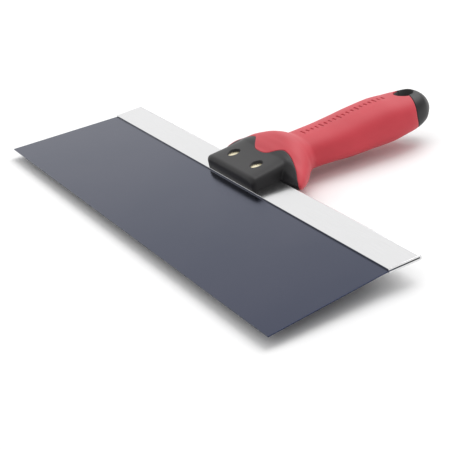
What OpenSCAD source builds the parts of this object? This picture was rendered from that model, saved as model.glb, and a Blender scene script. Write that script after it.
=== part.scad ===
// Drywall taping knife: a wide flat blade held in a folded aluminium backing
// strip, and a two-material handle riveted across the strip.
// Origin: middle of the working edge, half way through the blade's thickness.
// +X runs along the blade, +Y from the working edge to the butt, +Z up.

/* [Blade] */
// Length of the working edge
blade_w = 304.8; // [250:0.1:356]
// Length of the blade and strip at the back
back_w = 287; // [240:1:340]
// Blade depth from the working edge to the back of the strip
blade_depth = 76.2; // [70:0.1:77]
// Blade sheet thickness
blade_t = 0.5; // [0.4:0.05:0.8]

/* [Backing strip] */
// Depth of the folded strip
strip_depth = 15.8; // [14:0.1:18]
// Sheet thickness of the strip
strip_sheet = 0.8; // [0.6:0.05:1]

/* [Handle] */
// Gap between the strip's front edge and the front of the handle's head
head_setback = 0.8; // [0.4:0.1:2]
// Rounding of the head's front edges
head_round = 2.2; // [1:0.1:3]
// Wall of the soft grip
grip_wall = 2.2; // [1.5:0.1:2.6]
// How far the grip's middle tongue reaches forward
tongue_reach = 6.4; // [4:0.2:6.6]
// Radius of the hang hole
hang_r = 4.9; // [3:0.1:5.2]
// Wall of the hard boss round the hang hole
boss_wall = 0.8; // [0.6:0.1:1.2]
// Distance of the hang hole from the working edge
hang_y = 163.4; // [160:0.1:164]

/* [Rivets] */
// Spacing between the two rivets
rivet_spacing = 24; // [20:0.5:30]
// Distance of the rivets from the working edge
rivet_y = 71; // [69.5:0.1:72]
// Radius of the wells over and under the rivets
well_r = 3.4; // [3.2:0.1:3.6]
// Radius of the rivet heads
rivet_head_r = 3.1; // [2.8:0.1:3.1]
// Radius of the rivet barrel
barrel_r = 1.9; // [1.6:0.1:2.2]
// Radius of the pin inside the barrel
pin_r = 1.2; // [0.9:0.1:1.3]
// Height of the well floor above the blade plane
well_floor = 5.4; // [4:0.1:5.4]
// Thickness of a rivet head
rivet_head_t = 1.3; // [0.8:0.1:1.3]

/* [Hidden] */
strip_t = blade_t + 2 * strip_sheet;
strip_front = blade_depth - strip_depth;
blade_back = blade_depth - strip_sheet;
head_front = strip_front + head_setback;
boss_r = hang_r + boss_wall;
boss_top = 9.2;
boss_bottom = -6.8;
sides = [-1, 1];
// Points in a ring of the handle, length of a cutter, and facets of a round.
ring_n = 48;
cut = 40;
round_fn = 64;
// Narrowing of each side of the blade per millimetre of depth.
taper = (blade_w - back_w) / 2 / strip_front;

// Stations of the head, grip and butt: distance from the working edge, half width,
// top, bottom, and squareness (2 is an ellipse, 8 is a box with rounded corners).
body = [
    [60, 25, 6, -5.5, 8],
    [71, 24.5, 8, -7.5, 8],
    [80, 24, 9.5, -8.5, 7],
    [84, 24, 10.5, -9, 4],
    [88, 24, 12, -9.5, 3],
    [92, 21.5, 13, -9.5, 2.2],
    [96, 18.5, 11.5, -8.5, 2.2],
    [101, 15, 9.5, -7.5, 2.5],
    [112, 15.5, 9.5, -8, 2.5],
    [122, 16, 10, -9, 2.5],
    [134, 16, 11, -9.5, 2.5],
    [146, 16, 11.5, -10, 2.5],
    [156, 15.5, 10.5, -9, 2.5],
    [162, 14, 10, -8.5, 2.5],
    [168, 11.5, 9.5, -7, 2.5],
    [172.5, 7, 6.5, -4.5, 2],
    [174.5, 2.5, 2, -1, 2],
];
// Stations of the collar that flares behind the strip: distance, half width, half height.
flare = [
    [76.5, 24, 1.5],
    [77.5, 33, 3],
    [79, 38.5, 5.5],
    [82, 37, 8.5],
    [85, 34, 9.5],
    [88, 31, 11],
    [92, 25.5, 11],
    [96, 18, 9.5],
    [101, 12, 6.5],
];
flare_squareness = 2.2;
flare_start = flare[0][0];
flare_end = flare[len(flare) - 1][0];
// Share of a section's size over which the collar blends into the body.
fillet = 0.1;
butt_y = body[len(body) - 1][0];
// Seam between head and grip: its distance over the shoulders, how far it sweeps forward
// at the sides, and the cosine of the direction in which the tongue ends.
seam_y = 85.5;
seam_sweep = 7;
tongue_end = 0.58;
// Last level ring of the head, behind which its rings follow the seam.
collar_y = 77.7;
// Seam between grip and butt: its distance at the sides, and its bow above and below.
butt_seam_y = 160.5;
butt_seam_bow = 3;

// Smooth curve through one column of a table of stations, without overshoot.
function slope(table, i, k) =
    (table[i + 1][k] - table[i][k]) / (table[i + 1][0] - table[i][0]);
function tangent(table, i, k) =
    i == 0 ? slope(table, 0, k) :
    i == len(table) - 1 ? slope(table, i - 1, k) :
    let (before = slope(table, i - 1, k), after = slope(table, i, k))
    before * after <= 0 ? 0 : 2 * before * after / (before + after);
function span_at(table, y, i = 0) =
    i >= len(table) - 2 || y <= table[i + 1][0] ? i : span_at(table, y, i + 1);
function curve(table, y, k) =
    let (
        i = span_at(table, y),
        span = table[i + 1][0] - table[i][0],
        t = (y - table[i][0]) / span
    )
    (2 * t ^ 3 - 3 * t ^ 2 + 1) * table[i][k]
    + (t ^ 3 - 2 * t ^ 2 + t) * span * tangent(table, i, k)
    + (3 * t ^ 2 - 2 * t ^ 3) * table[i + 1][k]
    + (t ^ 3 - t ^ 2) * span * tangent(table, i + 1, k);

// Reach of a rounded box in a direction, as a share of its half sizes.
function reach(u, v, n) = (abs(u) ^ n + abs(v) ^ n) ^ (-1 / n);
// The larger of two reaches, with a fillet where they cross.
function blended(p, q) =
    max(p, q) + max(fillet - abs(p - q), 0) ^ 2 / (4 * fillet);

// A point of the handle's section at y, in direction angle, drawn in by inset.
function skin(y, angle, inset) =
    let (
        half = curve(body, y, 1) - inset,
        top = curve(body, y, 2) - inset,
        bottom = curve(body, y, 3) + inset,
        rise = (top - bottom) / 2,
        r_body = reach(cos(angle), sin(angle), curve(body, y, 4)),
        flared = y > flare_start && y < flare_end,
        wide = flared ? (curve(flare, y, 1) - inset) / half : 1,
        high = flared ? (curve(flare, y, 2) - inset) / rise : 1,
        r_flare = reach(cos(angle) / wide, sin(angle) / high, flare_squareness),
        r = flared ? blended(r_body, r_flare) : r_body
    )
    [half * cos(angle) * r, y, (top + bottom) / 2 + rise * sin(angle) * r];

// The seam between head and grip: a tongue above and below, level at the sides.
function smooth(x) = let (t = min(1, max(0, x))) t * t * (3 - 2 * t);
function front_seam(angle) =
    let (c = abs(cos(angle)))
    seam_y - seam_sweep * c ^ 8 - tongue_reach * (1 - smooth(c / tongue_end) ^ 2);
// The seam between grip and butt bows back above and below.
function back_seam(angle) = butt_seam_y + butt_seam_bow * sin(angle) ^ 2;

// Rings of points: a fixed distance, or a share of the way between two curves.
angles = [for (i = [0:ring_n - 1]) 360 * i / ring_n];
function ring(y, inset) = [for (a = angles) skin(y, a, inset)];
function from_front(share, y, inset) = [for (a = angles)
    skin(front_seam(a) * (1 - share) + y * share, a, inset)];
function to_back(share, y, inset) = [for (a = angles)
    skin(back_seam(a) * share + y * (1 - share), a, inset)];

// Distances of the rings under the grip, from the collar to the butt.
grip_rows = [87.5, 90, 92, 94, 96, 98.5, 101, 106, 112, 117, 122, 128, 134, 140, 146, 151, 156];
function grip_rings(inset) = concat(
    [for (share = [0, 0.25, 0.5, 0.75]) from_front(share, grip_rows[0], inset)],
    [for (y = grip_rows) ring(y, inset)],
    [to_back(0.5, grip_rows[len(grip_rows) - 1], inset), to_back(1, 0, inset)]
);
// Inset of the head's rounded front edge at a distance behind the front face.
function edge_inset(d) = head_round - sqrt(head_round ^ 2 - (head_round - d) ^ 2);
head_rings = concat(
    [for (share = [0, 0.12, 0.4, 0.75, 1])
        ring(head_front + share * head_round, edge_inset(share * head_round))],
    [for (y = [68, 72, 75.4, 76.5, 76.8, 77, 77.3, collar_y]) ring(y, 0)],
    [for (share = [0.7, 0.35, 0]) from_front(share, collar_y, 0)]
);
butt_rows = [166, 168, 170, 171.6, 172.9, 173.7, 174.2];
butt_rings = concat(
    [to_back(1, 0, 0), to_back(0.5, butt_rows[0], 0)],
    [for (y = butt_rows) ring(y, 0)],
    [ring(butt_y, 0)]
);

// Closed solid skinned over rings; a loop joins the last ring to the first.
module skinned(rings, loop = false) {
    rows = len(rings);
    last = loop ? rows - 1 : rows - 2;
    walls = [for (j = [0:last], i = [0:ring_n - 1])
        let (
            k = (i + 1) % ring_n,
            a = j * ring_n + i,
            b = j * ring_n + k,
            c = ((j + 1) % rows) * ring_n + k,
            d = ((j + 1) % rows) * ring_n + i
        )
        each [[a, b, c], [a, c, d]]];
    ends = loop ? [] : [
        [for (i = [ring_n - 1:-1:0]) i],
        [for (i = [0:ring_n - 1]) (rows - 1) * ring_n + i],
    ];
    polyhedron([for (r = rings) each r], concat(walls, ends), convexity = 6);
}

module at_rivets() {
    for (side = sides)
        translate([side * rivet_spacing / 2, rivet_y, 0])
            children();
}

module rivet_holes() {
    at_rivets()
        cylinder(r = barrel_r, h = 2 * cut, center = true, $fn = round_fn);
}

module hang_bore(r) {
    translate([0, hang_y, 0])
        cylinder(r = r, h = 2 * cut, center = true, $fn = round_fn);
}

// Hard wall of the hang hole, standing through the soft grip.
module hang_boss() {
    translate([0, hang_y, boss_bottom])
        cylinder(r = boss_r, h = boss_top - boss_bottom, $fn = round_fn);
}

// Spring steel blade; its sides keep their taper inside the strip.
module blade() {
    half = blade_w / 2;
    half_back = half - taper * blade_back;
    color("#5b6070")
        difference() {
            translate([0, 0, -blade_t / 2])
                linear_extrude(blade_t)
                    polygon([[-half, 0], [half, 0], [half_back, blade_back], [-half_back, blade_back]]);
            rivet_holes();
        }
}

// Aluminium sheet folded over the back of the blade.
module backing_strip() {
    color("#dedede")
        difference() {
            translate([-back_w / 2, strip_front, -strip_t / 2])
                cube([back_w, strip_depth, strip_t]);
            translate([-back_w, 0, -blade_t / 2])
                cube([2 * back_w, blade_back, blade_t]);
            rivet_holes();
        }
}

// Hard core: slotted head, tang under the grip, and butt with the hang hole.
module handle_core() {
    color("#363436")
        difference() {
            union() {
                skinned(concat(head_rings, grip_rings(grip_wall), butt_rings));
                hang_boss();
            }
            translate([-back_w / 2, 0, -strip_t / 2])
                cube([back_w, blade_depth, strip_t]);
            rivet_holes();
            at_rivets()
                for (side = sides)
                    translate([0, 0, side > 0 ? well_floor : -well_floor - cut])
                        cylinder(r = well_r, h = cut, $fn = round_fn);
            hang_bore(hang_r);
        }
}

// Soft grip moulded round the core from the collar to the butt.
module grip_sleeve() {
    inner = grip_rings(grip_wall);
    color("#d04c58")
        difference() {
            skinned(concat(
                grip_rings(0),
                [for (j = [len(inner) - 1:-1:0]) inner[j]]
            ), loop = true);
            hang_bore(boss_r);
        }
}

// Upper half of a rivet: a flat head in the upper well, and a pin.
module rivet_post(side) {
    color("#b8a878")
        translate([side * rivet_spacing / 2, rivet_y, 0]) {
            translate([0, 0, well_floor])
                cylinder(r = rivet_head_r, h = rivet_head_t, $fn = round_fn);
            translate([0, 0, -strip_t])
                cylinder(r = pin_r, h = strip_t + well_floor, $fn = round_fn);
        }
}

// Lower half of a rivet: a head in the lower well, and a hollow barrel.
module rivet_cap(side) {
    color("#b8a878")
        translate([side * rivet_spacing / 2, rivet_y, 0])
            difference() {
                union() {
                    translate([0, 0, -well_floor - rivet_head_t])
                        cylinder(r = rivet_head_r, h = rivet_head_t, $fn = round_fn);
                    translate([0, 0, -well_floor])
                        cylinder(r = barrel_r, h = 2 * well_floor, $fn = round_fn);
                }
                translate([0, 0, -strip_t])
                    cylinder(r = pin_r, h = cut, $fn = round_fn);
            }
}

blade();
backing_strip();
handle_core();
grip_sleeve();
rivet_post(-1);  // rivet_post_left
rivet_post(1);  // rivet_post_right
rivet_cap(-1);  // rivet_cap_left
rivet_cap(1);  // rivet_cap_right
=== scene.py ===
"""Drywall taping knife: detailed meshes, materials, light and camera on the CAD frame."""

import math

import bmesh
import bpy
from mathutils import Matrix, Vector


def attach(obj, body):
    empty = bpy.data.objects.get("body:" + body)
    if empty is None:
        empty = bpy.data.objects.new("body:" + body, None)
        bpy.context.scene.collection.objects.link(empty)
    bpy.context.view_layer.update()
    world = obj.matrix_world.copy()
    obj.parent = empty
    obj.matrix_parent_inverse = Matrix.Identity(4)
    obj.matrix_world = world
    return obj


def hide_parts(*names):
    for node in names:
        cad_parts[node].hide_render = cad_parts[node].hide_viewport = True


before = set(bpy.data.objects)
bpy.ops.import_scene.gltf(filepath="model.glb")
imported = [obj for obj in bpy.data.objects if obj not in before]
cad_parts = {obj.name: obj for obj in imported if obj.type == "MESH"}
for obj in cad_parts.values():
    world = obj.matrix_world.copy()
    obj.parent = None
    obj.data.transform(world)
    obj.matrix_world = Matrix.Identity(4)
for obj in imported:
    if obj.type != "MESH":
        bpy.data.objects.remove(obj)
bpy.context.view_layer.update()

MM = 0.001

# ---------------------------------------------------------------- sizes, in millimetres
# The driving dimensions of part.scad: origin at the middle of the working edge. The head,
# collar and rivet wells follow the photograph and differ from part.scad by up to 1.4 mm.
BLADE_W = 304.8
BACK_W = 287.0
BLADE_DEPTH = 76.2
BLADE_T = 0.5
STRIP_DEPTH = 15.8
STRIP_SHEET = 0.8
STRIP_T = BLADE_T + 2 * STRIP_SHEET
STRIP_FRONT = BLADE_DEPTH - STRIP_DEPTH
HEAD_SETBACK = 0.8
HEAD_FRONT = STRIP_FRONT + HEAD_SETBACK
HEAD_ROUND = 2.2
GRIP_WALL = 2.2
HANG_R = 4.9
BOSS_WALL = 0.8
BOSS_R = HANG_R + BOSS_WALL
BOSS_TOP = 9.2
BOSS_BOTTOM = -6.8
HANG_Y = 163.4
RIVET_X = 12.0
RIVET_Y = 71.0
WELL_R = 3.4
WELL_FLOOR = 5.8
RIVET_HEAD_R = 3.1
RIVET_HEAD_T = 1.3
RIVET_EDGE = 0.3
PIN_R = 1.15
BARREL_R = 1.9
BARREL_BORE_R = 1.2
TONGUE_REACH = 6.4
# Small gap that keeps neighbouring skins apart, a larger one at the ends of the blade and
# pin, the radius that closes a lathe's axis, and the reach of the cutters past the handle.
GAP = 0.02
END_GAP = 0.05
AXIS_R = 0.05
CUT = 40.0

# Stations of the head, grip and butt: distance from the working edge, half width,
# top, bottom, and squareness (2 is an ellipse, 8 is a box with rounded corners).
BODY = [
    (60, 25.2, 7, -5.5, 8),
    (71, 24.8, 8, -7.5, 8),
    (80, 24.4, 9.2, -8.5, 7),
    (84, 24, 10.5, -9, 4),
    (88, 23.5, 11.5, -9.5, 3),
    (92, 21, 12.5, -9.5, 2.2),
    (96, 18.5, 11.5, -8.5, 2.2),
    (101, 15, 9.5, -7.5, 2.5),
    (112, 15.5, 9.5, -8, 2.5),
    (122, 16, 10, -9, 2.5),
    (134, 16, 11, -9.5, 2.5),
    (146, 16, 11.5, -10, 2.5),
    (156, 15.5, 10.5, -9, 2.5),
    (162, 14, 10, -8.5, 2.5),
    (168, 11.5, 9.5, -7, 2.5),
    (172.5, 7, 6.5, -4.5, 2),
    (174.5, 2.5, 2, -1, 2),
]
# Stations of the collar that flares behind the strip: distance, half width, half height.
FLARE = [
    (76.5, 24, 1.5),
    (77.5, 33, 3),
    (79, 38.5, 5.5),
    (82, 37, 8.5),
    (85, 34, 9.5),
    (88, 30.5, 10.5),
    (92, 25, 10.5),
    (96, 18, 9.5),
    (101, 12, 6.5),
]
FLARE_SQUARENESS = 2.2
FILLET = 0.25
# Seam between head and grip: its distance over the shoulders, its sweep forward at the
# sides, and the cosine of the direction in which the tongue ends.
SEAM_Y = 85.5
SEAM_SWEEP = 7.0
TONGUE_END = 0.58
# Seam between grip and butt: its distance at the sides, and its bow above and below.
BUTT_SEAM_Y = 160.5
BUTT_SEAM_BOW = 3.0
BUTT_Y = BODY[-1][0]
BUTT_ROUND_Y = 166.0
# Mesh density: points round a ring, and rows along each stretch of the handle.
COLUMNS = 240
GRIP_ROWS = 170
INNER_ROWS = 60
COLLAR_ROWS = 24
BUTT_ROWS = 12
BUTT_ROUND_ROWS = 26
BORE_STEPS = 96
# The head's rings stand this far apart, and closer where the collar starts to flare.
HEAD_STEP = 0.4
FLARE_STEP = 0.1
FLARE_STEP_Y = 76.2
HEAD_ROWS_END = 77.5


# ---------------------------------------------------------------- the handle's surface
def slope(table, i, k):
    """Slope of column k between rows i and i + 1 of a table of stations."""
    return (table[i + 1][k] - table[i][k]) / (table[i + 1][0] - table[i][0])


def tangent(table, i, k):
    """Tangent of column k at row i, flat where the column turns back."""
    if i == 0:
        return slope(table, 0, k)
    if i == len(table) - 1:
        return slope(table, i - 1, k)
    before = slope(table, i - 1, k)
    after = slope(table, i, k)
    return 0.0 if before * after <= 0 else 2 * before * after / (before + after)


def curve(table, y, k):
    """Smooth value of column k at distance y from the working edge."""
    i = 0
    while i < len(table) - 2 and y > table[i + 1][0]:
        i += 1
    span = table[i + 1][0] - table[i][0]
    t = (y - table[i][0]) / span
    return (
        (2 * t**3 - 3 * t**2 + 1) * table[i][k]
        + (t**3 - 2 * t**2 + t) * span * tangent(table, i, k)
        + (3 * t**2 - 2 * t**3) * table[i + 1][k]
        + (t**3 - t**2) * span * tangent(table, i + 1, k)
    )


def reach(u, v, n):
    """Reach of a rounded box in a direction, as a share of its half sizes."""
    return (abs(u) ** n + abs(v) ** n) ** (-1 / n)


def blended(p, q):
    """The larger of two reaches, with a fillet where they cross."""
    return max(p, q) + max(FILLET - abs(p - q), 0.0) ** 2 / (4 * FILLET)


def skin(y, angle, inset=0.0):
    """Point of the handle's section at y in the direction angle, in millimetres."""
    half = curve(BODY, y, 1) - inset
    top = curve(BODY, y, 2) - inset
    bottom = curve(BODY, y, 3) + inset
    rise = (top - bottom) / 2
    c = math.cos(angle)
    s = math.sin(angle)
    r = reach(c, s, curve(BODY, y, 4))
    if FLARE[0][0] < y < FLARE[-1][0]:
        wide = (curve(FLARE, y, 1) - inset) / half
        high = (curve(FLARE, y, 2) - inset) / rise
        r = blended(r, reach(c / wide, s / high, FLARE_SQUARENESS))
    return Vector((half * c * r, y, (top + bottom) / 2 + rise * s * r))


def smooth(x):
    """Smooth step from 0 to 1."""
    t = min(1.0, max(0.0, x))
    return t * t * (3 - 2 * t)


def front_seam(angle):
    """Distance of the seam between head and grip: a tongue above and below."""
    c = abs(math.cos(angle))
    return SEAM_Y - SEAM_SWEEP * c**8 - TONGUE_REACH * (1 - smooth(c / TONGUE_END) ** 2)


def back_seam(angle):
    """Distance of the seam between grip and butt."""
    return BUTT_SEAM_Y + BUTT_SEAM_BOW * math.sin(angle) ** 2


# ---------------------------------------------------------------- mesh helpers
def new_object(name, mesh, node):
    """Object for a mesh in millimetres, which stands for one CAD node."""
    mesh.transform(Matrix.Scale(MM, 4))
    obj = bpy.data.objects.new(name, mesh)
    bpy.context.scene.collection.objects.link(obj)
    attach(obj, "root")
    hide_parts(node)
    return obj


def mesh_from(name, points, faces, smooth_faces=True):
    """Mesh from points and faces with outward normals."""
    mesh = bpy.data.meshes.new(name)
    mesh.from_pydata([tuple(p) for p in points], [], faces)
    bm = bmesh.new()
    bm.from_mesh(mesh)
    bmesh.ops.recalc_face_normals(bm, faces=bm.faces)
    bm.to_mesh(mesh)
    bm.free()
    for polygon in mesh.polygons:
        polygon.use_smooth = smooth_faces
    return mesh


def skinned(name, rings, loop=False):
    """Closed mesh over rings of points; a loop joins the last ring to the first."""
    count = len(rings[0])
    points = [p for ring in rings for p in ring]
    faces = []
    for j in range(len(rings) if loop else len(rings) - 1):
        for i in range(count):
            k = (i + 1) % count
            nxt = (j + 1) % len(rings)
            faces.append((j * count + i, j * count + k, nxt * count + k, nxt * count + i))
    if not loop:
        faces.append(tuple(reversed(range(count))))
        faces.append(tuple((len(rings) - 1) * count + i for i in range(count)))
    return mesh_from(name, points, faces)


def lathe(name, profile, centre, steps=64):
    """Closed solid of revolution about a vertical axis; profile is (radius, z) pairs."""
    rings = []
    for radius, z in profile:
        ring = []
        for i in range(steps):
            a = 2 * math.pi * i / steps
            ring.append(Vector((centre[0] + radius * math.cos(a), centre[1] + radius * math.sin(a), z)))
        rings.append(ring)
    return skinned(name, rings)


def combine(obj, mesh, operation):
    """Exact boolean of an object with a mesh in millimetres."""
    mesh.transform(Matrix.Scale(MM, 4))
    tool = bpy.data.objects.new("tool", mesh)
    bpy.context.scene.collection.objects.link(tool)
    mod = obj.modifiers.new("combine", "BOOLEAN")
    mod.object = tool
    mod.operation = operation
    mod.solver = "EXACT"
    apply_modifiers(obj)
    bpy.data.objects.remove(tool)


def boolean_cut(obj, meshes):
    """Subtract meshes from an object."""
    for mesh in meshes:
        combine(obj, mesh, "DIFFERENCE")


def apply_modifiers(obj):
    """Replace the object's mesh by its evaluated mesh and clear its modifiers."""
    depsgraph = bpy.context.evaluated_depsgraph_get()
    done = bpy.data.meshes.new_from_object(obj.evaluated_get(depsgraph))
    old = obj.data
    obj.modifiers.clear()
    obj.data = done
    bpy.data.meshes.remove(old)


def box_mesh(name, low, high):
    """Closed box between two corners."""
    bm = bmesh.new()
    bmesh.ops.create_cube(bm, size=1.0)
    for v in bm.verts:
        for axis in range(3):
            v.co[axis] = low[axis] if v.co[axis] < 0 else high[axis]
    mesh = bpy.data.meshes.new(name)
    bm.to_mesh(mesh)
    bm.free()
    return mesh


def bevel(obj, width, segments=3, angle=30.0):
    """Round an object's sharp edges; width in millimetres."""
    mod = obj.modifiers.new("bevel", "BEVEL")
    mod.width = width * MM
    mod.segments = segments
    mod.limit_method = "ANGLE"
    mod.angle_limit = math.radians(angle)
    apply_modifiers(obj)


# ---------------------------------------------------------------- material helpers
def new_material(name):
    """Material with an empty Principled shader; returns the material and its tools."""
    mat = bpy.data.materials.new(name)
    mat.use_nodes = True
    tree = mat.node_tree
    shader = next(n for n in tree.nodes if n.type == "BSDF_PRINCIPLED")
    return mat, tree, shader


def object_coords(tree, scale):
    """Object coordinates, stretched by a scale for each axis."""
    coords = tree.nodes.new("ShaderNodeTexCoord")
    mapping = tree.nodes.new("ShaderNodeMapping")
    mapping.inputs["Scale"].default_value = scale
    tree.links.new(coords.outputs["Object"], mapping.inputs["Vector"])
    return mapping.outputs["Vector"]


def noise(tree, vector, scale, detail=3.0, roughness=0.5):
    """Noise texture value."""
    node = tree.nodes.new("ShaderNodeTexNoise")
    node.inputs["Scale"].default_value = scale
    node.inputs["Detail"].default_value = detail
    node.inputs["Roughness"].default_value = roughness
    tree.links.new(vector, node.inputs["Vector"])
    return node.outputs["Fac"]


def ramp(tree, value, stops):
    """Colour ramp; stops are (position, colour) pairs."""
    node = tree.nodes.new("ShaderNodeValToRGB")
    elements = node.color_ramp.elements
    while len(elements) < len(stops):
        elements.new(0.5)
    for element, (position, colour) in zip(elements, stops):
        element.position = position
        element.color = (*colour, 1.0)
    tree.links.new(value, node.inputs["Fac"])
    return node.outputs["Color"]


def remap(tree, value, low, high, from_low=0.0, from_high=1.0):
    """Map a value range to another."""
    node = tree.nodes.new("ShaderNodeMapRange")
    node.inputs["From Min"].default_value = from_low
    node.inputs["From Max"].default_value = from_high
    node.inputs["To Min"].default_value = low
    node.inputs["To Max"].default_value = high
    tree.links.new(value, node.inputs["Value"])
    return node.outputs["Result"]


def bump(tree, height, strength, distance):
    """Bump normal from a height; distance in millimetres."""
    node = tree.nodes.new("ShaderNodeBump")
    node.inputs["Strength"].default_value = strength
    node.inputs["Distance"].default_value = distance * MM
    tree.links.new(height, node.inputs["Height"])
    return node.outputs["Normal"]


# ---------------------------------------------------------------- materials
def blued_steel():
    """Dark blue-grey spring steel with a fine grain along the blade."""
    mat, tree, shader = new_material("blued_steel")
    grain = noise(tree, object_coords(tree, (12, 900, 900)), 4.0, 4.0, 0.6)
    clouds = noise(tree, object_coords(tree, (1, 1, 1)), 14.0, 3.0, 0.5)
    colour = ramp(tree, clouds, [(0.3, (0.032, 0.040, 0.074)), (0.7, (0.042, 0.048, 0.082))])
    tree.links.new(colour, shader.inputs["Base Color"])
    shader.inputs["Metallic"].default_value = 1.0
    tree.links.new(remap(tree, grain, 0.12, 0.24), shader.inputs["Roughness"])
    tree.links.new(bump(tree, grain, 0.03, 0.02), shader.inputs["Normal"])
    return mat


def brushed_aluminium():
    """Bright satin aluminium, brushed along the strip."""
    mat, tree, shader = new_material("aluminium")
    lines = noise(tree, object_coords(tree, (20, 1600, 1600)), 3.0, 5.0, 0.65)
    colour = ramp(tree, lines, [(0.25, (0.67, 0.67, 0.675)), (0.75, (0.74, 0.74, 0.745))])
    tree.links.new(colour, shader.inputs["Base Color"])
    shader.inputs["Metallic"].default_value = 1.0
    tree.links.new(remap(tree, lines, 0.13, 0.20), shader.inputs["Roughness"])
    tree.links.new(bump(tree, lines, 0.04, 0.02), shader.inputs["Normal"])
    return mat


def black_plastic():
    """Hard black moulding with a fine spark-eroded texture."""
    mat, tree, shader = new_material("black_plastic")
    vector = object_coords(tree, (1, 1, 1))
    fine = noise(tree, vector, 2600.0, 2.0, 0.5)
    broad = noise(tree, vector, 60.0, 3.0, 0.5)
    colour = ramp(tree, broad, [(0.3, (0.014, 0.0135, 0.0145)), (0.7, (0.019, 0.018, 0.0195))])
    tree.links.new(colour, shader.inputs["Base Color"])
    tree.links.new(remap(tree, broad, 0.38, 0.50), shader.inputs["Roughness"])
    shader.inputs["Specular IOR Level"].default_value = 0.3
    tree.links.new(bump(tree, fine, 0.35, 0.03), shader.inputs["Normal"])
    return mat


def red_rubber():
    """Matte soft-touch grip with a slight bloom."""
    mat, tree, shader = new_material("red_rubber")
    vector = object_coords(tree, (1, 1, 1))
    fine = noise(tree, vector, 2200.0, 3.0, 0.6)
    broad = noise(tree, vector, 45.0, 3.0, 0.5)
    colour = ramp(tree, broad, [(0.3, (0.50, 0.040, 0.056)), (0.7, (0.56, 0.047, 0.065))])
    tree.links.new(colour, shader.inputs["Base Color"])
    tree.links.new(remap(tree, broad, 0.50, 0.60), shader.inputs["Roughness"])
    shader.inputs["Specular IOR Level"].default_value = 0.3
    shader.inputs["Sheen Weight"].default_value = 0.08
    shader.inputs["Sheen Roughness"].default_value = 0.5
    tree.links.new(bump(tree, fine, 0.3, 0.03), shader.inputs["Normal"])
    return mat


def brass():
    """Pale satin brass of the rivets, turned in fine rings."""
    mat, tree, shader = new_material("brass")
    vector = object_coords(tree, (1, 1, 1))
    marks = noise(tree, vector, 900.0, 3.0, 0.6)
    colour = ramp(tree, marks, [(0.3, (0.80, 0.71, 0.47)), (0.7, (0.94, 0.86, 0.63))])
    tree.links.new(colour, shader.inputs["Base Color"])
    shader.inputs["Metallic"].default_value = 1.0
    tree.links.new(remap(tree, marks, 0.22, 0.38), shader.inputs["Roughness"])
    tree.links.new(bump(tree, marks, 0.15, 0.03), shader.inputs["Normal"])
    return mat


def studio_paper():
    """Plain pale floor."""
    mat, tree, shader = new_material("studio_paper")
    fibres = noise(tree, object_coords(tree, (1, 1, 1)), 120.0, 4.0, 0.6)
    colour = ramp(tree, fibres, [(0.2, (0.90, 0.90, 0.90)), (0.8, (0.92, 0.92, 0.92))])
    tree.links.new(colour, shader.inputs["Base Color"])
    shader.inputs["Roughness"].default_value = 0.9
    return mat


# ---------------------------------------------------------------- pieces
def make_blade():
    """Thin trapezoid of spring steel with softened edges."""
    half = BLADE_W / 2
    taper = (BLADE_W - BACK_W) / 2 / STRIP_FRONT
    back = BLADE_DEPTH - STRIP_SHEET - END_GAP
    half_back = half - taper * back
    outline = [(-half, 0), (half, 0), (half_back, back), (-half_back, back)]
    bottom = [Vector((x, y, -BLADE_T / 2)) for x, y in outline]
    top = [Vector((x, y, BLADE_T / 2)) for x, y in outline]
    mesh = skinned("blade", [bottom, top])
    for polygon in mesh.polygons:
        polygon.use_smooth = False
    obj = new_object("blade_sheet", mesh, "blade")
    bevel(obj, 0.08, 2)
    obj.data.materials.append(blued_steel())
    return obj


# Faces larger than this, in square metres, are shaded flat.
FLAT_AREA = 0.001


def make_strip():
    """Aluminium sheet folded round the back of the blade."""
    outer = STRIP_T / 2
    inner = BLADE_T / 2
    fold_y = BLADE_DEPTH - outer
    steps = 10
    profile = [(STRIP_FRONT, inner), (STRIP_FRONT, outer)]
    for i in range(steps + 1):
        a = math.pi / 2 - math.pi * i / steps
        profile.append((fold_y + outer * math.cos(a), outer * math.sin(a)))
    profile += [(STRIP_FRONT, -outer), (STRIP_FRONT, -inner)]
    for i in range(steps + 1):
        a = -math.pi / 2 + math.pi * i / steps
        profile.append((fold_y + GAP + inner * math.cos(a), inner * math.sin(a)))
    left = [Vector((-BACK_W / 2, y, z)) for y, z in profile]
    right = [Vector((BACK_W / 2, y, z)) for y, z in profile]
    mesh = skinned("backing_strip", [left, right])
    obj = new_object("backing_strip_sheet", mesh, "backing_strip")
    bevel(obj, 0.12, 2, 40)
    for polygon in obj.data.polygons:
        polygon.use_smooth = polygon.area < FLAT_AREA
    obj.data.materials.append(brushed_aluminium())
    return obj


SEAM_LIP = 0.45
LIP_SHARES = (0.0, 0.07, 0.25, 0.55)
FRONT_SHARES = (0, 0.03, 0.1, 0.2, 0.35, 0.55, 0.75, 1)


def rounded(radius, d):
    """Inset of an edge rounded by a radius, at distance d from its end."""
    return radius - math.sqrt(radius * radius - (radius - d) ** 2)


def seam_rings(start, stop, rows, inset=0.0):
    """Rings from one seam to another."""
    rings = []
    for j in range(rows + 1):
        t = j / rows
        ring = []
        for i in range(COLUMNS):
            a = 2 * math.pi * i / COLUMNS
            ring.append(skin(start(a) * (1 - t) + stop(a) * t, a, inset))
        rings.append(ring)
    return rings


def lip_rows(seam, toward):
    """Extra rings that round an edge off beside a seam; toward is +1 or -1 along y."""
    rings = []
    for share in LIP_SHARES:
        d = share * SEAM_LIP
        dip = rounded(SEAM_LIP, d)
        ring = []
        for i in range(COLUMNS):
            a = 2 * math.pi * i / COLUMNS
            ring.append(skin(seam(a) + toward * d, a, dip))
        rings.append(ring)
    return rings


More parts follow.
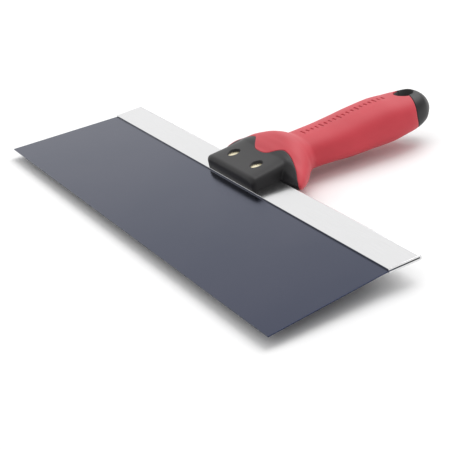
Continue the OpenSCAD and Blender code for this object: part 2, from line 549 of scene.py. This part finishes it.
TICK_START = 104.0
TICK_PITCH = 2.6
TICK_COUNT = 19
TICK_DEPTH = 0.35
TICK_LONG = 5.0
TICK_SHORT = 3.4
TICK_WIDTH = 1.1
TICK_GROUP = 4
TICK_CLEAR = 3.0


def tick_cutter():
    """Cutter for the row of shallow grooves with round ends along the top of the grip."""
    steps = 8
    points = []
    faces = []
    for k in range(TICK_COUNT):
        y = TICK_START + k * TICK_PITCH
        length = TICK_LONG if k % TICK_GROUP == 0 else TICK_SHORT
        floor_z = skin(y, math.pi / 2).z - TICK_DEPTH
        outline = []
        for side in (1, -1):
            for i in range(steps + 1):
                a = side * (math.pi / 2) - math.pi * i / steps
                x = side * (length - TICK_WIDTH) / 2 + TICK_WIDTH / 2 * math.cos(a)
                outline.append((x, y + TICK_WIDTH / 2 * math.sin(a)))
        first = len(points)
        count = len(outline)
        points += [(x, v, floor_z) for x, v in outline]
        points += [(x, v, floor_z + TICK_CLEAR) for x, v in outline]
        faces.append(tuple(first + i for i in range(count)))
        faces.append(tuple(first + count + i for i in reversed(range(count))))
        for i in range(count):
            n = (i + 1) % count
            faces.append((first + i, first + count + i, first + count + n, first + n))
    return mesh_from("ticks", points, faces)


def make_grip():
    """Soft grip: a shell from the collar to the butt, rounded at both seams."""
    front = lip_rows(front_seam, 1)
    body = seam_rings(
        lambda a: front_seam(a) + SEAM_LIP, lambda a: back_seam(a) - SEAM_LIP, GRIP_ROWS
    )
    back = list(reversed(lip_rows(back_seam, -1)))
    inner = seam_rings(front_seam, back_seam, INNER_ROWS, GRIP_WALL)
    mesh = skinned("grip_sleeve", front + body + back + list(reversed(inner)), loop=True)
    obj = new_object("grip_sleeve_skin", mesh, "grip_sleeve")
    cutters = [lathe("hang", [(BOSS_R, -CUT), (BOSS_R, CUT)], (0, HANG_Y), BORE_STEPS)]
    cutters.append(tick_cutter())
    boolean_cut(obj, cutters)
    obj.data.materials.append(red_rubber())
    return obj


def section(y, inset=0.0):
    """Ring of points round the handle at distance y."""
    return [skin(y, 2 * math.pi * i / COLUMNS, inset) for i in range(COLUMNS)]


def head_rings():
    """Rings of the head, from its rounded front edge to the seam with the grip."""
    rings = []
    for share in FRONT_SHARES:
        d = share * HEAD_ROUND
        rings.append(section(HEAD_FRONT + d, rounded(HEAD_ROUND, d)))
    y = HEAD_FRONT + HEAD_ROUND
    while y < HEAD_ROWS_END:
        y += HEAD_STEP if y < FLARE_STEP_Y else FLARE_STEP
        rings.append(section(y))
    last_y = y
    rings += seam_rings(
        lambda a: last_y, lambda a: max(last_y + END_GAP, front_seam(a) - SEAM_LIP), COLLAR_ROWS
    )[1:]
    return rings + list(reversed(lip_rows(front_seam, -1)))[1:]


def butt_rings():
    """Rings of the butt, from the seam with the grip to its round end."""
    rings = lip_rows(back_seam, 1)
    rings += seam_rings(lambda a: back_seam(a) + SEAM_LIP, lambda a: BUTT_ROUND_Y, BUTT_ROWS)
    for j in range(1, BUTT_ROUND_ROWS + 1):
        share = math.sin(math.pi / 2 * j / BUTT_ROUND_ROWS)
        rings.append(section(BUTT_ROUND_Y + (BUTT_Y - BUTT_ROUND_Y) * share))
    return rings


def make_core():
    """Hard core: head with its slot and rivet wells, tang, and butt with the hang hole."""
    head = head_rings()
    tang = seam_rings(front_seam, back_seam, INNER_ROWS, GRIP_WALL + GAP)
    mesh = skinned("handle_core", head + tang + butt_rings())
    obj = new_object("handle_core_body", mesh, "handle_core")
    boss = [(BOSS_R - GAP, BOSS_BOTTOM), (BOSS_R - GAP, BOSS_TOP)]
    combine(obj, lathe("boss", boss, (0, HANG_Y), BORE_STEPS), "UNION")
    cutters = [
        box_mesh(
            "slot",
            (-BACK_W / 2, 0, -STRIP_T / 2 - GAP),
            (BACK_W / 2, BLADE_DEPTH + END_GAP, STRIP_T / 2 + GAP),
        ),
        lathe("hang", [(HANG_R, -CUT), (HANG_R, CUT)], (0, HANG_Y), BORE_STEPS),
    ]
    for side in (-1, 1):
        centre = (side * RIVET_X, RIVET_Y)
        cutters.append(lathe("upper_well", [(WELL_R, WELL_FLOOR), (WELL_R, CUT)], centre))
        cutters.append(lathe("lower_well", [(WELL_R, -CUT), (WELL_R, -WELL_FLOOR)], centre))
        cutters.append(lathe("rivet_hole", [(BARREL_R, -CUT / 2), (BARREL_R, CUT / 2)], centre))
    boolean_cut(obj, cutters)
    obj.data.materials.append(black_plastic())
    return obj


def make_rivet(side, name):
    """Two-piece rivet: domed heads in the wells, pin and barrel through the strip."""
    centre = (side * RIVET_X, RIVET_Y)
    top = WELL_FLOOR + RIVET_HEAD_T
    upper = [
        (PIN_R, -STRIP_T),
        (PIN_R, WELL_FLOOR),
        (RIVET_HEAD_R, WELL_FLOOR),
        (RIVET_HEAD_R, top - RIVET_EDGE),
        (RIVET_HEAD_R - RIVET_EDGE * 0.3, top - RIVET_EDGE * 0.3),
        (RIVET_HEAD_R - RIVET_EDGE, top - GAP),
        (RIVET_HEAD_R * 0.5, top),
        (AXIS_R, top),
    ]
    mesh = lathe("rivet_post", upper, centre)
    post = new_object("rivet_post_" + name + "_turned", mesh, "rivet_post_" + name)
    lower = [
        (AXIS_R, -top),
        (RIVET_HEAD_R * 0.5, -top),
        (RIVET_HEAD_R - RIVET_EDGE, -top + GAP),
        (RIVET_HEAD_R - RIVET_EDGE * 0.3, -top + RIVET_EDGE * 0.3),
        (RIVET_HEAD_R, -top + RIVET_EDGE),
        (RIVET_HEAD_R, -WELL_FLOOR),
        (BARREL_R, -WELL_FLOOR),
        (BARREL_R, WELL_FLOOR - GAP),
        (BARREL_BORE_R, WELL_FLOOR - GAP),
        (BARREL_BORE_R, -STRIP_T - END_GAP),
        (AXIS_R, -STRIP_T - END_GAP),
    ]
    mesh = lathe("rivet_cap", lower, centre)
    cap = new_object("rivet_cap_" + name + "_turned", mesh, "rivet_cap_" + name)
    return [post, cap]


# ---------------------------------------------------------------- build
make_blade()
make_strip()
make_grip()
make_core()
BRASS = brass()
for side, name in ((-1, "left"), (1, "right")):
    for piece in make_rivet(side, name):
        piece.data.materials.append(BRASS)


# ---------------------------------------------------------------- floor, light and camera
# The knife stands clear of the floor, which falls away a little towards the butt.
FLOOR_DROP = -5.0 * MM
FLOOR_TILT = math.radians(3.8)
FLOOR_SIZE = 6.0
WORLD_STRENGTH = 0.80
LIGHT_TARGET = (0, 0.08, 0)
# Angles in degrees; distance, target and lens in millimetres.
CAMERA_AZIMUTH = 68.65
CAMERA_ELEVATION = 23.44
CAMERA_ROLL = -13.27
CAMERA_DISTANCE = 650.03
CAMERA_TARGET = (45.16, 35.42, 0)
CAMERA_LENS = 115.79


def make_floor():
    """Wide plain floor under the knife."""
    bm = bmesh.new()
    bmesh.ops.create_grid(bm, x_segments=8, y_segments=8, size=FLOOR_SIZE)
    mesh = bpy.data.meshes.new("floor")
    bm.to_mesh(mesh)
    bm.free()
    floor = bpy.data.objects.new("floor", mesh)
    floor.location = (0, 0, FLOOR_DROP)
    floor.rotation_euler = (-FLOOR_TILT, 0, 0)
    bpy.context.scene.collection.objects.link(floor)
    mesh.materials.append(studio_paper())


def area_light(name, place, target, size, power):
    """Soft square area light aimed at a target."""
    data = bpy.data.lights.new(name, "AREA")
    data.shape = "SQUARE"
    data.size = size
    data.energy = power
    light = bpy.data.objects.new(name, data)
    bpy.context.scene.collection.objects.link(light)
    light.location = place
    light.rotation_euler = (Vector(target) - Vector(place)).to_track_quat("-Z", "Y").to_euler()


def make_world(strength):
    """Even white surroundings."""
    world = bpy.data.worlds.new("studio")
    world.use_nodes = True
    back = next(n for n in world.node_tree.nodes if n.type == "BACKGROUND")
    back.inputs["Color"].default_value = (1.0, 1.0, 1.0, 1.0)
    back.inputs["Strength"].default_value = strength
    bpy.context.scene.world = world


def make_camera():
    """Camera at the photograph's angle, rolled with the tilted knife."""
    azimuth = math.radians(CAMERA_AZIMUTH)
    elevation = math.radians(CAMERA_ELEVATION)
    roll = math.radians(CAMERA_ROLL)
    distance = CAMERA_DISTANCE * MM
    target = Vector(CAMERA_TARGET) * MM
    back = Vector(
        (
            math.sin(azimuth) * math.cos(elevation),
            -math.cos(azimuth) * math.cos(elevation),
            math.sin(elevation),
        )
    )
    forward = -back
    right = forward.cross(Vector((0, 0, 1))).normalized()
    up = right.cross(forward)
    rolled_right = math.cos(roll) * right + math.sin(roll) * up
    rolled_up = -math.sin(roll) * right + math.cos(roll) * up
    data = bpy.data.cameras.new("camera")
    data.sensor_width = 36.0
    data.lens = CAMERA_LENS
    data.clip_start = 0.01
    camera = bpy.data.objects.new("camera", data)
    bpy.context.scene.collection.objects.link(camera)
    rotation = Matrix((rolled_right, rolled_up, back)).transposed()
    camera.matrix_world = Matrix.Translation(target + back * distance) @ rotation.to_4x4()
    bpy.context.scene.camera = camera


make_floor()
make_world(WORLD_STRENGTH)
area_light("key", (-0.35, 0.98, 1.25), LIGHT_TARGET, 1.2, 14)
area_light("back_left", (-1.9, 0.9, 0.95), LIGHT_TARGET, 3.0, 9)
bpy.context.scene.view_settings.view_transform = "Standard"
make_camera()
